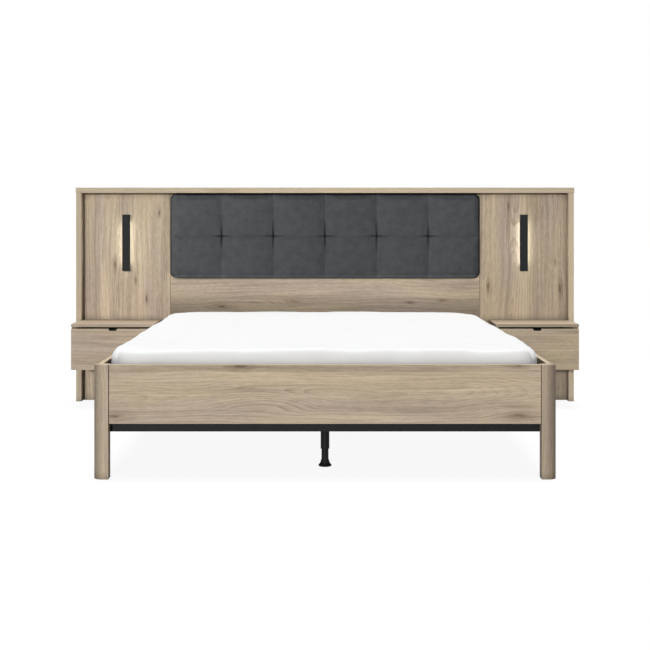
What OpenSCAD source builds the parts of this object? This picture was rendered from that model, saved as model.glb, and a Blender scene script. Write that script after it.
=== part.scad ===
// Double bed: wide panelled headboard with a tufted cushion and two reading lamps,
// two floating nightstands with one drawer each, slatted steel base and mattress.
// Millimetres. +X to the right, +Y to the head end, +Z up.
// Origin: centre of the footprint, on the floor.

/* [Mattress] */
// Width of the mattress
mattress_w = 1600; // [1200:10:2000]
// Length of the mattress
mattress_l = 2000; // [1800:10:2200]
// Height of the mattress at its sides
mattress_h = 242; // [180:1:280]
// Crown of the top above the sides
mattress_crown = 8; // [0:1:20]
// Rounding of the top edge
mattress_edge_r = 46; // [20:1:70]
// Corner radius seen from above
mattress_corner_r = 100; // [30:1:130]
// Gap between mattress and side rail
mattress_side_gap = 20; // [5:1:40]
// Gap between mattress and footboard
mattress_foot_gap = 2; // [1:1:20]
// Gap between mattress and headboard cushion
mattress_head_gap = 3; // [1:1:20]

/* [Bed frame] */
// Height of legs, footboard and rails above the floor
frame_top = 420; // [350:1:480]
// Height of footboard and side rails
board_h = 216; // [160:1:240]
// Thickness of the footboard
footboard_t = 28; // [18:1:40]
// Footboard set back from the leg fronts
footboard_setback = 2; // [0:1:8]
// Width of the shadow groove between footboard and leg
foot_groove_w = 2.5; // [0.5:0.5:6]
// Depth of the shadow groove
foot_groove_d = 6; // [1:1:12]
// Thickness of a side rail
rail_t = 18; // [15:1:30]
// Leg proud of the side rail
leg_proud = 12; // [0:1:20]
// Width of a leg
leg_w = 56; // [45:1:80]
// Depth of a leg
leg_d = 48; // [40:1:80]
// Radius of the outer front corner of a leg
leg_r = 32; // [5:1:36]

/* [Headboard] */
// Height of the headboard
headboard_h = 1117; // [1000:1:1300]
// Thickness of the top board
top_t = 28; // [16:1:40]
// Top board proud of the gables
top_overhang = 2; // [0:1:10]
// Thickness of a gable
gable_t = 28; // [18:1:40]
// Panels set back from the gable fronts
panel_recess = 55; // [40:1:80]
// Thickness of the headboard panels
panel_t = 18; // [12:1:25]
// Seam between centre and side panels
seam_gap = 1; // [0.5:0.5:3]
// Seam inside the inner face of the rail
seam_lead = 6.5; // [2:0.5:12]
// Thickness of a seam batten behind the panels
batten_t = 17; // [12:1:30]
// Batten reach past seam and rail
batten_lap = 25; // [15:1:60]

/* [Cushion] */
// Height of the headboard cushion
cushion_h = 445; // [350:1:555]
// Gap between cushion and top board
cushion_top_gap = 3; // [2:1:20]
// Cushion narrower than the centre panel, each side
cushion_inset = 1; // [0:0.5:20]
// Cushion front behind the gable fronts
cushion_setback = 5; // [0:1:15]
// Corner radius of the cushion
cushion_corner_r = 35; // [12:1:45]
// Thickness of the board behind the pad
cushion_board_t = 9; // [6:1:15]
// Board smaller than the pad all round
cushion_wrap = 4; // [2:1:10]
// Sewn fields side by side
cushion_cols = 6; // [4:2:8]
// Sewn fields above each other
cushion_rows = 2; // [2:2:2]
// Depth of the seams between fields
seam_d = 5; // [0:0.5:8]
// Reach of a seam into the fields
seam_reach = 20; // [8:1:40]
// Depth of a tuft below the seams
tuft_d = 19; // [0:1:22]
// Reach of a tuft
tuft_reach = 30; // [10:1:60]
// Rounding of the pad edge
pad_edge_r = 34; // [12:1:45]
// Depth of the pad at its widest line
pad_rim = 12; // [6:1:20]

/* [Lamps] */
// Width of a lamp
lamp_w = 40; // [25:1:60]
// Height of a lamp
lamp_h = 296; // [150:1:400]
// Depth of the lamp cover
lamp_d = 17; // [10:1:30]
// Cover held off the panel
lamp_gap = 18; // [4:1:24]
// Wall of the lamp cover
lamp_wall = 2; // [1:0.5:4]
// Lamp top below the top board
lamp_drop = 113; // [40:1:250]
// Diffuser inside the cover, each side
diffuser_inset = 4; // [3:0.5:8]
// Diffuser shorter than the lamp, each end
diffuser_end = 36; // [5:1:60]

/* [Nightstands] */
// Width of a nightstand
ns_w = 420; // [320:1:600]
// Gap between side rail and nightstand
ns_gap = 22; // [5:1:60]
// Nightstand inside the outer face of the gable
ns_inset = 20; // [0:1:27]
// Reach of a nightstand in front of the gables
ns_reach = 240; // [180:1:360]
// Top of a nightstand above the floor
ns_top_z = 424; // [340:1:560]
// Thickness of the nightstand top
ns_top_t = 16; // [12:1:30]
// Thickness of the outer side
side_outer_t = 28; // [16:1:30]
// Thickness of the inner side
side_inner_t = 16; // [12:1:30]
// Thickness of the bottom
ns_bottom_t = 16; // [10:1:25]
// Thickness of the back
ns_back_t = 8; // [3:1:12]

/* [Drawers] */
// Gap between top and drawer front
finger_gap = 8; // [4:1:14]
// Height of the drawer front
drawer_front_h = 208; // [195:1:240]
// Thickness of the drawer front
drawer_front_t = 18; // [14:1:25]
// Drawer front below the carcass
front_drop = 1; // [0:1:5]
// Gap between drawer front and carcass
front_gap = 2; // [1:0.5:4]
// Width of the finger notch at the top edge
notch_w = 43; // [30:1:120]
// Slope of each end of the finger notch
notch_slope = 4; // [0:0.5:8]
// Depth of the finger notch
notch_d = 11; // [6:1:30]
// Height of the drawer sides
drawer_side_h = 150; // [90:1:160]
// Thickness of drawer sides and back
drawer_wall = 12; // [10:1:18]
// Thickness of the drawer bottom
drawer_bottom_t = 5; // [3:1:8]
// Drawer bottom above the lower edge of the sides
bottom_rise = 8; // [5:1:15]
// Depth of the groove that holds the drawer bottom
groove_d = 6; // [3:1:8]
// Drawer box above the nightstand bottom
drawer_lift = 14; // [6:1:25]
// Free space behind a closed drawer
drawer_rear_gap = 19; // [5:1:40]

/* [Drawer slides] */
// Space for a slide beside the drawer
slide_w = 12.7; // [12:0.1:14]
// Height of a slide
slide_h = 35; // [25:1:45]
// Sheet thickness of a slide
slide_wall = 1.5; // [1:0.1:2]
// Flange width of the fixed member
slide_flange = 9.5; // [7:0.5:11]
// Running gap inside a slide
slide_gap = 0.6; // [0.3:0.1:1]
// Slide above the lower edge of the drawer
slide_rise = 50; // [25:1:80]

/* [Slatted base] */
// Height of the base tubes
tube_h = 40; // [30:1:50]
// Width of the base tubes
tube_w = 30; // [20:1:36]
// Wall of the base tubes
tube_wall = 2; // [1.5:0.5:3]
// Base below the lower edge of the rails
base_drop = 36; // [10:1:60]
// Base shorter than the mattress
base_trim = 25; // [0:1:60]
// Gap round the base
base_gap = 2; // [1:1:6]
// Wall of the angle that carries the base
ledge_t = 3; // [2:0.5:5]
// Flange of the angle under the base
ledge_w = 45; // [35:1:60]
// Lap of the angle on the side rail
ledge_lap = 46; // [25:1:80]
// Angle starts behind the front of the base
ledge_setback = 30; // [0:1:60]
// Slats in each row
slat_n = 13; // [9:1:16]
// Width of a slat
slat_w = 68; // [50:1:80]
// Thickness of a slat
slat_t = 8; // [6:0.5:10]
// Rise of a slat at its middle
slat_rise = 12; // [6:1:18]
// First and last slat from the ends of the base
slat_end = 60; // [50:1:100]
// Length of a slat end held in a cap
cap_hold = 34; // [20:1:50]
// Wall of a slat cap
cap_wall = 4; // [3:0.5:6]
// Floor under the slat in a cap
cap_floor = 6; // [4:0.5:10]

/* [Support legs] */
// Front support leg from the leg fronts
support_y = 264; // [150:1:500]
// Distance between the two support legs
support_pitch = 1200; // [800:10:1400]
// Outer diameter of the sleeve
sleeve_d = 34; // [30:1:45]
// Wall of the sleeve
sleeve_wall = 2.85; // [2:0.05:3.5]
// Lower end of the sleeve above the floor
sleeve_z = 68; // [66:1:100]
// Side of the square mounting plate
plate_w = 60; // [50:1:90]
// Thickness of the mounting plate
plate_t = 3; // [2:0.5:5]
// Radial gap between sleeve and inner tube
sleeve_gap = 0.4; // [0.3:0.1:0.8]
// Wall of the inner tube
foot_tube_wall = 2; // [1.5:0.5:3]
// Inner tube inside the sleeve
foot_insert = 55; // [40:1:56]
// Diameter of the foot
foot_d = 50; // [40:1:70]
// Height of the foot
foot_h = 24; // [15:1:24]

/* [Fits] */
// Clearance between seated pieces
fit = 0.3; // [0.2:0.1:0.5]

/* [Hidden] */
$fn = 64;

// Flats on each half of a slat's arc
SLAT_STEPS = 9;

// Colours
OAK = [0.69, 0.63, 0.55];
OAK_LIGHT = [0.74, 0.68, 0.60];
SLATE = [0.32, 0.33, 0.35];
BLACK = [0.16, 0.16, 0.17];
STEEL = [0.72, 0.73, 0.74];
OPAL = [0.98, 0.94, 0.84];
BIRCH = [0.84, 0.74, 0.58];
LINEN = [0.95, 0.95, 0.94];
GRAPHITE_BOARD = [0.21, 0.21, 0.21];

// Positions across, for the right-hand side
rail_in = mattress_w / 2 + mattress_side_gap;
rail_out = rail_in + rail_t;
leg_out = rail_out + leg_proud;
leg_in = leg_out - leg_w;
seam_x = rail_in - seam_lead;
ns_in = rail_out + ns_gap;
ns_out = ns_in + ns_w;
gable_out = ns_out + ns_inset;
gable_in = gable_out - gable_t;
lamp_x = (seam_x + gable_in) / 2;

// Positions along
gable_d = panel_recess + panel_t + batten_t;
mattress_back = footboard_setback + footboard_t + mattress_foot_gap + mattress_l;
gable_from_foot = mattress_back + mattress_head_gap - cushion_setback;
overall_d = gable_from_foot + gable_d;
foot_y = -overall_d / 2;
gable_y = foot_y + gable_from_foot;
back_y = gable_y + gable_d;
panel_y = gable_y + panel_recess;
board_y = foot_y + footboard_setback;
leg_back = foot_y + leg_d;
mattress_y = foot_y + mattress_back - mattress_l / 2;

// Positions in height
board_z = frame_top - board_h;
base_z = board_z - base_drop;
base_top = base_z + tube_h;
slat_z = base_top + cap_floor + fit;
mattress_z = slat_z + slat_rise + slat_t + fit;
top_z = headboard_h - top_t;

// Headboard cushion
cushion_w = 2 * (seam_x - seam_gap / 2 - cushion_inset);
cushion_z = top_z - cushion_top_gap - cushion_h / 2;
pad_t = panel_recess - cushion_setback - cushion_board_t;
pad_y = panel_y - cushion_board_t;

// Lamps
lamp_z = top_z - lamp_drop - lamp_h;
cover_y = panel_y - lamp_gap - lamp_d;
diffuser_w = lamp_w - 2 * diffuser_inset;
diffuser_h = lamp_h - 2 * diffuser_end;

// Nightstands
ns_front = gable_y - ns_reach;
ns_under = ns_top_z - ns_top_t;
front_z = ns_under - finger_gap - drawer_front_h;
ns_z = front_z + front_drop;
carcass_y = ns_front + drawer_front_t + front_gap;
ns_x0 = ns_in + side_inner_t;
ns_x1 = ns_out - side_outer_t;
back_board_y = panel_y - ns_back_t;

// Drawers
drawer_y0 = ns_front + drawer_front_t;
drawer_y1 = back_board_y - drawer_rear_gap;
drawer_l = drawer_y1 - drawer_y0;
drawer_x0 = ns_x0 + slide_w;
drawer_x1 = ns_x1 - slide_w;
drawer_z = ns_z + ns_bottom_t + drawer_lift;
drawer_bottom_z = drawer_z + bottom_rise;
slide_z = drawer_z + slide_rise;
member_h = slide_h - 2 * (slide_wall + slide_gap);

// Slatted base
base_out = rail_in - ledge_t - base_gap / 2;
base_y0 = leg_back + base_gap;
base_y1 = base_y0 + mattress_l - base_trim;
cap_pocket_h = slat_t + cap_hold * 4 * slat_rise / (base_out - cap_wall) + 2 * fit;
cap_h = cap_floor + cap_pocket_h + cap_wall;
cap_w = slat_w + 2 * (fit + cap_wall);
cap_l = cap_hold + fit + cap_wall;
slat_x0 = cap_wall + fit;
slat_x1 = base_out - cap_wall - fit;
slat_half = (slat_x1 - slat_x0) / 2;
slat_r = (slat_half * slat_half + slat_rise * slat_rise) / (2 * slat_rise);
slat_pitch = (base_y1 - base_y0 - 2 * slat_end) / (slat_n - 1);

// Support legs
sleeve_bore = sleeve_d - 2 * sleeve_wall;
foot_tube_d = sleeve_bore - 2 * sleeve_gap;
support_front = foot_y + support_y;

// A box from its near lower left corner
module board(x, y, z, w, d, h) {
    translate([x, y, z]) cube([w, d, h]);
}

// Keeps a right-hand piece, or mirrors it to the left
module on_side(s) {
    if (s > 0) children();
    else mirror([1, 0, 0]) children();
}

// Extrudes an outline drawn in X and Z along Y, from y to y + l
module along_y(y, l) {
    translate([0, y + l, 0]) rotate([90, 0, 0]) linear_extrude(height = l) children();
}

// ---------------------------------------------------------------- Headboard

module headboard_top() {
    color(OAK_LIGHT)
        board(-gable_out - top_overhang, gable_y - top_overhang, top_z,
              2 * (gable_out + top_overhang), gable_d + top_overhang, top_t);
}

module headboard_gable(s) {
    color(OAK) on_side(s)
        board(gable_in, gable_y, 0, gable_t, gable_d, top_z);
}

module headboard_panel_side(s) {
    color(OAK) on_side(s)
        board(seam_x + seam_gap / 2, panel_y, 0,
              gable_in - seam_x - seam_gap / 2, panel_t, top_z);
}

module headboard_panel_center() {
    half = seam_x - seam_gap / 2;
    color(OAK_LIGHT)
        board(-half, panel_y, 0, 2 * half, panel_t, top_z);
}

module headboard_batten(s) {
    x0 = seam_x - batten_lap;
    color(OAK) on_side(s)
        board(x0, panel_y + panel_t, 0, rail_out + batten_lap - x0, batten_t, top_z);
}

// ---------------------------------------------------------------- Cushion

module rounded_outline(w, h, r) {
    difference() {
        square([w, h], center = true);
        for (sx = [-1, 1], sz = [-1, 1])
            translate([sx * (w / 2 - r), sz * (h / 2 - r)])
                difference() {
                    translate([sx > 0 ? 0 : -2 * r, sz > 0 ? 0 : -2 * r]) square(2 * r);
                    circle(r = r);
                }
    }
}

module cushion_board() {
    color(BIRCH)
        translate([0, 0, cushion_z])
            along_y(pad_y, cushion_board_t)
                rounded_outline(cushion_w - 2 * cushion_wrap, cushion_h - 2 * cushion_wrap,
                                cushion_corner_r - cushion_wrap);
}

// Places of the grid lines within one sewn field, closer at its seams
FIELD = [0, 0.03, 0.09, 0.2, 0.38, 0.62, 0.8, 0.91, 0.97];

function grid_lines(n, size) =
    concat([for (c = [0:n - 1], f = FIELD) -size / 2 + (c + f) * size / n], [size / 2]);

function nearest_seam(x) =
    min([for (k = [1:cushion_cols - 1]) abs(x - (k - cushion_cols / 2) * cushion_w / cushion_cols)]);

// Squares the circle: corner cells of the grid follow the rounded corner
function corner_fit(x, z) =
    let (cx = cushion_w / 2 - cushion_corner_r,
         cz = cushion_h / 2 - cushion_corner_r,
         a = max(0, abs(x) - cx),
         b = max(0, abs(z) - cz),
         k = a > 0 && b > 0 ? max(a, b) / norm([a, b]) : 1)
    [sign(x) * (abs(x) - a + k * a), sign(z) * (abs(z) - b + k * b)];

function pad_round(e) =
    e >= pad_edge_r ? 1 : sqrt(1 - pow(1 - e / pad_edge_r, 2));

// Depth of the pad in front of its board
function pad_depth(x, z) =
    let (e = min(cushion_w / 2 - abs(x), cushion_h / 2 - abs(z)),
         s = nearest_seam(x),
         body = pad_rim + (pad_t - pad_rim) * pad_round(e),
         seams = seam_d * (exp(-s / seam_reach) + exp(-abs(z) / seam_reach)),
         tuft = tuft_d * exp(-norm([s, z]) / tuft_reach))
    body - (seams + tuft) * (body - pad_rim) / (pad_t - pad_rim);

module headboard_cushion() {
    xs = grid_lines(cushion_cols, cushion_w);
    zs = grid_lines(cushion_rows, cushion_h);
    nx = len(xs);
    nz = len(zs);
    front = [for (z = zs, x = xs)
        let (p = corner_fit(x, z)) [p[0], pad_y - pad_depth(x, z), cushion_z + p[1]]];
    ring = concat(
        [for (i = [0:nx - 2]) i],
        [for (j = [0:nz - 2]) j * nx + nx - 1],
        [for (i = [nx - 1:-1:1]) (nz - 1) * nx + i],
        [for (j = [nz - 1:-1:1]) j * nx]);
    n = len(ring);
    shrink = [1 - 2 * cushion_wrap / cushion_w, 1 - 2 * cushion_wrap / cushion_h];
    rear = [for (k = ring)
        [front[k][0] * shrink[0], pad_y, cushion_z + (front[k][2] - cushion_z) * shrink[1]]];
    points = concat(front, rear, [[0, pad_y, cushion_z]]);
    base = nx * nz;
    faces = concat(
        [for (j = [0:nz - 2], i = [0:nx - 2])
            [j * nx + i, (j + 1) * nx + i, (j + 1) * nx + i + 1]],
        [for (j = [0:nz - 2], i = [0:nx - 2])
            [j * nx + i, (j + 1) * nx + i + 1, j * nx + i + 1]],
        [for (k = [0:n - 1]) [ring[k], ring[(k + 1) % n], base + (k + 1) % n]],
        [for (k = [0:n - 1]) [ring[k], base + (k + 1) % n, base + k]],
        [for (k = [0:n - 1]) [base + k, base + (k + 1) % n, base + n]]);
    color(SLATE) polyhedron(points = points, faces = faces, convexity = 6);
}

// ---------------------------------------------------------------- Lamps

module lamp_cover(s) {
    color(BLACK) on_side(s)
        difference() {
            board(lamp_x - lamp_w / 2, cover_y, lamp_z, lamp_w, lamp_d, lamp_h);
            board(lamp_x - lamp_w / 2 + lamp_wall, cover_y + lamp_wall, lamp_z + lamp_wall,
                  lamp_w - 2 * lamp_wall, lamp_d, lamp_h - 2 * lamp_wall);
        }
}

module lamp_diffuser(s) {
    y0 = cover_y + lamp_wall;
    color(OPAL) on_side(s)
        board(lamp_x - diffuser_w / 2, y0, lamp_z + diffuser_end,
              diffuser_w, panel_y - y0, diffuser_h);
}

// ---------------------------------------------------------------- Bed frame

module footboard() {
    color(OAK)
        difference() {
            board(-leg_in, board_y, board_z, 2 * leg_in, footboard_t, board_h);
            for (s = [-1, 1])
                on_side(s)
                    board(leg_in - foot_groove_w, board_y - 1, board_z - 1,
                          foot_groove_w + 1, foot_groove_d + 1, board_h + 2);
        }
}

// Square post with one large rounded corner, outward and to the foot end
module leg(s) {
    r = min(leg_r, leg_w - 1, leg_d - 1);
    color(OAK) on_side(s)
        translate([leg_out, foot_y, 0])
            linear_extrude(height = frame_top)
                difference() {
                    translate([-leg_w, 0]) square([leg_w, leg_d]);
                    difference() {
                        translate([-r, -1]) square([r + 1, r + 1]);
                        translate([-r, r]) circle(r = r, $fn = 96);
                    }
                }
}

module side_rail(s) {
    color(OAK) on_side(s)
        board(rail_in, leg_back, board_z, rail_t, panel_y - leg_back, board_h);
}

// Steel angle on the rail, its flange under the slatted base
module base_ledge(s) {
    color(BLACK) on_side(s)
        along_y(base_y0 + ledge_setback, base_y1 - base_y0 - ledge_setback)
            difference() {
                translate([rail_in - ledge_w, base_z - ledge_t])
                    square([ledge_w, ledge_t + base_drop + ledge_lap]);
                translate([rail_in - ledge_w - ledge_t, base_z])
                    square([ledge_w, base_drop + ledge_lap + 1]);
            }
}

// ---------------------------------------------------------------- Slatted base

// Closed rectangular tube
module tube(x, y, w, d) {
    difference() {
        board(x, y, base_z, w, d, tube_h);
        board(x + tube_wall, y + tube_wall, base_z + tube_wall,
              w - 2 * tube_wall, d - 2 * tube_wall, tube_h - 2 * tube_wall);
    }
}

module base_tube_cross(y) {
    color(BLACK) tube(-base_out, y, 2 * base_out, tube_w);
}

module base_tube_long(x) {
    color(BLACK)
        tube(x, base_y0 + tube_w, tube_w, base_y1 - base_y0 - 2 * tube_w);
}

module at_slats() {
    for (i = [0:slat_n - 1])
        translate([0, base_y0 + slat_end + i * slat_pitch, 0]) children();
}

// Edge of a slat seen from the front: an arc of radius r, higher at its middle
function slat_arc(r) =
    let (mid = (slat_x0 + slat_x1) / 2)
    [for (i = [-SLAT_STEPS:SLAT_STEPS])
        let (dx = slat_half * i / SLAT_STEPS)
        [mid + dx, slat_z + slat_rise - slat_r + sqrt(r * r - dx * dx)]];

function backwards(list) = [for (i = [len(list) - 1:-1:0]) list[i]];

// Bentwood slats: a band between two arcs about one centre
module slats(s) {
    color(BIRCH) on_side(s)
        at_slats()
            along_y(-slat_w / 2, slat_w)
                polygon(concat(slat_arc(slat_r), backwards(slat_arc(slat_r + slat_t))));
}

// Cap on a slat end: a block with a pocket open towards the slat
module cap_end(x, dir) {
    translate([x, 0, 0])
        mirror([dir > 0 ? 0 : 1, 0, 0])
            difference() {
                along_y(-cap_w / 2, cap_w) translate([0, base_top]) square([cap_l, cap_h]);
                along_y(-slat_w / 2 - fit, slat_w + 2 * fit)
                    translate([cap_wall, base_top + cap_floor])
                        square([cap_l, cap_pocket_h]);
            }
}

module slat_caps_side(s) {
    color(BLACK) on_side(s)
        at_slats() cap_end(base_out, -1);
}

module slat_caps_center() {
    color(BLACK)
        at_slats() {
            cap_end(0, 1);
            cap_end(0, -1);
        }
}

// ---------------------------------------------------------------- Support legs

module support_sleeve(y) {
    color(BLACK)
        translate([0, y, 0])
            difference() {
                union() {
                    translate([-plate_w / 2, -plate_w / 2, base_z - plate_t])
                        cube([plate_w, plate_w, plate_t]);
                    translate([0, 0, sleeve_z])
                        cylinder(d = sleeve_d, h = base_z - plate_t - sleeve_z);
                }
                translate([0, 0, sleeve_z - 1])
                    cylinder(d = sleeve_bore, h = base_z - sleeve_z - plate_t + 1);
            }
}

// Inner tube with its flared foot, slides in the sleeve
module support_foot(y) {
    tube_r = foot_tube_d / 2;
    bore_r = tube_r - foot_tube_wall;
    neck = tube_r + 2.5;
    tube_top = sleeve_z + foot_insert;
    color(BLACK)
        translate([0, y, 0])
            rotate_extrude()
                polygon([
                    [0, 0], [foot_d / 2 - 2, 0], [foot_d / 2, 2], [foot_d / 2, 6],
                    [neck + 3, foot_h * 0.5], [neck, foot_h - 3], [neck, foot_h],
                    [tube_r, foot_h], [tube_r, tube_top], [bore_r, tube_top],
                    [bore_r, foot_h * 0.6], [0, foot_h * 0.6]
                ]);
}

// ---------------------------------------------------------------- Mattress

// Outline of the mattress drawn in by e, counter-clockwise from above
CORNER_STEPS = 6;
EDGE_STEPS = 6;

function outline_corner(sx, sy, a0, w, l, r) =
    [for (i = [0:CORNER_STEPS]) let (a = a0 + 90 * i / CORNER_STEPS)
        [sx * (w / 2 - r) + r * cos(a), sy * (l / 2 - r) + r * sin(a)]];

function between(p, q) =
    [for (i = [1:EDGE_STEPS - 1]) p + (q - p) * i / EDGE_STEPS];

function outline(e) =
    let (w = mattress_w - 2 * e,
         l = mattress_l - 2 * e,
         r = mattress_corner_r - e,
         c0 = outline_corner(1, -1, -90, w, l, r),
         c1 = outline_corner(1, 1, 0, w, l, r),
         c2 = outline_corner(-1, 1, 90, w, l, r),
         c3 = outline_corner(-1, -1, 180, w, l, r))
    concat(c0, between(c0[CORNER_STEPS], c1[0]),
           c1, between(c1[CORNER_STEPS], c2[0]),
           c2, between(c2[CORNER_STEPS], c3[0]),
           c3, between(c3[CORNER_STEPS], c0[0]));

function crown(x, y) =
    mattress_crown * (1 - pow(2 * x / mattress_w, 2)) * (1 - pow(2 * y / mattress_l, 2));

module mattress() {
    rim_r = min(mattress_edge_r, mattress_corner_r - 10);
    low_r = 14;
    top = mattress_h;
    // Rings of the side: inset and height
    side = concat(
        [for (a = [0:30:90]) [low_r * (1 - sin(a)), low_r * (1 - cos(a))]],
        [[0, top / 2]],
        [for (a = [0:18:90]) [rim_r * (1 - cos(a)), top - rim_r * (1 - sin(a))]]);
    // Rings of the top: shares of the way from rim to middle
    shares = [0.12, 0.3, 0.55, 0.8];
    rim = outline(rim_r);
    n = len(rim);
    side_points = [for (k = side) for (p = outline(k[0]))
        [p[0], p[1], k[1] + (k[1] > top / 2 ? crown(p[0], p[1]) : 0)]];
    top_points = [for (t = shares) for (p = rim)
        let (q = p * (1 - t)) [q[0], q[1], top + crown(q[0], q[1])]];
    rings = len(side) + len(shares);
    points = concat(side_points, top_points, [[0, 0, 0], [0, 0, top + mattress_crown]]);
    low = rings * n;
    faces = concat(
        [for (r = [0:rings - 2], k = [0:n - 1])
            [r * n + k, (r + 1) * n + k, (r + 1) * n + (k + 1) % n]],
        [for (r = [0:rings - 2], k = [0:n - 1])
            [r * n + k, (r + 1) * n + (k + 1) % n, r * n + (k + 1) % n]],
        [for (k = [0:n - 1]) [k, (k + 1) % n, low]],
        [for (k = [0:n - 1])
            [(rings - 1) * n + (k + 1) % n, (rings - 1) * n + k, low + 1]]);
    color(LINEN)
        translate([0, mattress_y, mattress_z])
            polyhedron(points = points, faces = faces, convexity = 4);
}

// ---------------------------------------------------------------- Nightstands

// Space that the gable takes from a nightstand
module gable_space() {
    board(gable_in, gable_y, ns_z - 10, gable_t + 10, panel_recess + 10, ns_top_z);
}

module nightstand_top(s) {
    color(OAK_LIGHT) on_side(s)
        difference() {
            board(ns_in, ns_front, ns_under, ns_w, panel_y - ns_front, ns_top_t);
            gable_space();
        }
}

module nightstand_side_outer(s) {
    color(OAK) on_side(s)
        difference() {
            board(ns_x1, carcass_y, ns_z, side_outer_t, panel_y - carcass_y, ns_under - ns_z);
            gable_space();
        }
}

module nightstand_side_inner(s) {
    color(OAK) on_side(s)
        board(ns_in, carcass_y, ns_z, side_inner_t, panel_y - carcass_y, ns_under - ns_z);
}

module nightstand_bottom(s) {
    color(OAK) on_side(s)
        board(ns_x0, carcass_y, ns_z, ns_x1 - ns_x0, back_board_y - carcass_y, ns_bottom_t);
}

module nightstand_back(s) {
    color(GRAPHITE_BOARD) on_side(s)
        board(ns_x0, back_board_y, ns_z, ns_x1 - ns_x0, ns_back_t, ns_under - ns_z);
}

// Fixed member of a slide, its back against the wall at X = 0
module slide_fixed_outline() {
    difference() {
        square([slide_flange, slide_h]);
        translate([slide_wall, slide_wall])
            square([slide_flange, slide_h - 2 * slide_wall]);
    }
}

// Moving member, nested in the fixed one and flat against the drawer side
module slide_moving_outline() {
    x0 = slide_wall + slide_gap;
    translate([0, slide_wall + slide_gap])
        difference() {
            translate([x0, 0]) square([slide_w - x0, member_h]);
            translate([x0 - 1, slide_wall])
                square([slide_w - x0 + 1 - slide_wall, member_h - 2 * slide_wall]);
        }
}

module nightstand_slides(s) {
    color(STEEL) on_side(s)
        for (side = [0, 1])
            translate([side ? ns_x1 : ns_x0, 0, slide_z])
                mirror([side, 0, 0])
                    along_y(carcass_y + 1, drawer_l) slide_fixed_outline();
}

module drawer_slides(s) {
    color(STEEL) on_side(s)
        for (side = [0, 1])
            translate([side ? ns_x1 : ns_x0, 0, slide_z])
                mirror([side, 0, 0])
                    along_y(drawer_y0 + 1, drawer_l - 2) slide_moving_outline();
}

// ---------------------------------------------------------------- Drawers

module bottom_groove() {
    board(drawer_x0 + drawer_wall - groove_d, drawer_y0 - groove_d,
          drawer_bottom_z - fit / 2,
          drawer_x1 - drawer_x0 - 2 * (drawer_wall - groove_d),
          drawer_l + 2 * groove_d, drawer_bottom_t + fit);
}

// Front with a finger notch in its top edge
module drawer_front(s) {
    mid = (ns_in + ns_out) / 2;
    floor_half = notch_w / 2 - notch_slope;
    color(OAK_LIGHT) on_side(s)
        difference() {
            along_y(ns_front, drawer_front_t)
                difference() {
                    translate([ns_in, front_z]) square([ns_w, drawer_front_h]);
                    translate([mid, front_z + drawer_front_h])
                        polygon([
                            [-notch_w / 2, 1], [-notch_w / 2, 0],
                            [-floor_half, -notch_d], [floor_half, -notch_d],
                            [notch_w / 2, 0], [notch_w / 2, 1]
                        ]);
                }
            bottom_groove();
        }
}

module drawer_side(s, x) {
    color(GRAPHITE_BOARD) on_side(s)
        difference() {
            board(x, drawer_y0, drawer_z, drawer_wall, drawer_l, drawer_side_h);
            bottom_groove();
        }
}

// Back between the sides, above the bottom that slides in under it
module drawer_back(s) {
    z0 = drawer_bottom_z + drawer_bottom_t + fit / 2;
    color(GRAPHITE_BOARD) on_side(s)
        board(drawer_x0 + drawer_wall, drawer_y1 - drawer_wall, z0,
              drawer_x1 - drawer_x0 - 2 * drawer_wall, drawer_wall,
              drawer_z + drawer_side_h - z0);
}

module drawer_bottom(s) {
    x0 = drawer_x0 + drawer_wall - groove_d + fit;
    x1 = drawer_x1 - drawer_wall + groove_d - fit;
    y0 = drawer_y0 - groove_d + fit;
    color(GRAPHITE_BOARD) on_side(s)
        board(x0, y0, drawer_bottom_z, x1 - x0, drawer_y1 - y0, drawer_bottom_t);
}

// ---------------------------------------------------------------- Assembly

headboard_top();
headboard_gable(-1);  // headboard_gable_left
headboard_gable(1);  // headboard_gable_right
headboard_panel_side(-1);  // headboard_panel_left
headboard_panel_side(1);  // headboard_panel_right
headboard_panel_center();
headboard_batten(-1);  // headboard_batten_left
headboard_batten(1);  // headboard_batten_right
cushion_board();
headboard_cushion();
lamp_cover(-1);  // lamp_left_cover
lamp_cover(1);  // lamp_right_cover
lamp_diffuser(-1);  // lamp_left_diffuser
lamp_diffuser(1);  // lamp_right_diffuser
footboard();
leg(-1);  // leg_left
leg(1);  // leg_right
side_rail(-1);  // side_rail_left
side_rail(1);  // side_rail_right
base_ledge(-1);  // base_ledge_left
base_ledge(1);  // base_ledge_right
base_tube_cross(base_y0);  // base_tube_front
base_tube_cross(base_y1 - tube_w);  // base_tube_rear
base_tube_long(-tube_w / 2);  // base_tube_center
base_tube_long(-base_out);  // base_tube_left
base_tube_long(base_out - tube_w);  // base_tube_right
slats(-1);  // slats_left
slats(1);  // slats_right
slat_caps_side(-1);  // slat_caps_left
slat_caps_side(1);  // slat_caps_right
slat_caps_center();
support_sleeve(support_front);  // support_front_sleeve
support_sleeve(support_front + support_pitch);  // support_rear_sleeve
support_foot(support_front);  // support_front_foot
support_foot(support_front + support_pitch);  // support_rear_foot
mattress();
nightstand_top(-1);  // nightstand_left_top
nightstand_top(1);  // nightstand_right_top
nightstand_side_outer(-1);  // nightstand_left_side_outer
nightstand_side_outer(1);  // nightstand_right_side_outer
nightstand_side_inner(-1);  // nightstand_left_side_inner
nightstand_side_inner(1);  // nightstand_right_side_inner
nightstand_bottom(-1);  // nightstand_left_bottom
nightstand_bottom(1);  // nightstand_right_bottom
nightstand_back(-1);  // nightstand_left_back
nightstand_back(1);  // nightstand_right_back
nightstand_slides(-1);  // nightstand_left_slides
nightstand_slides(1);  // nightstand_right_slides
drawer_front(-1);  // drawer_left_front
drawer_front(1);  // drawer_right_front
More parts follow.
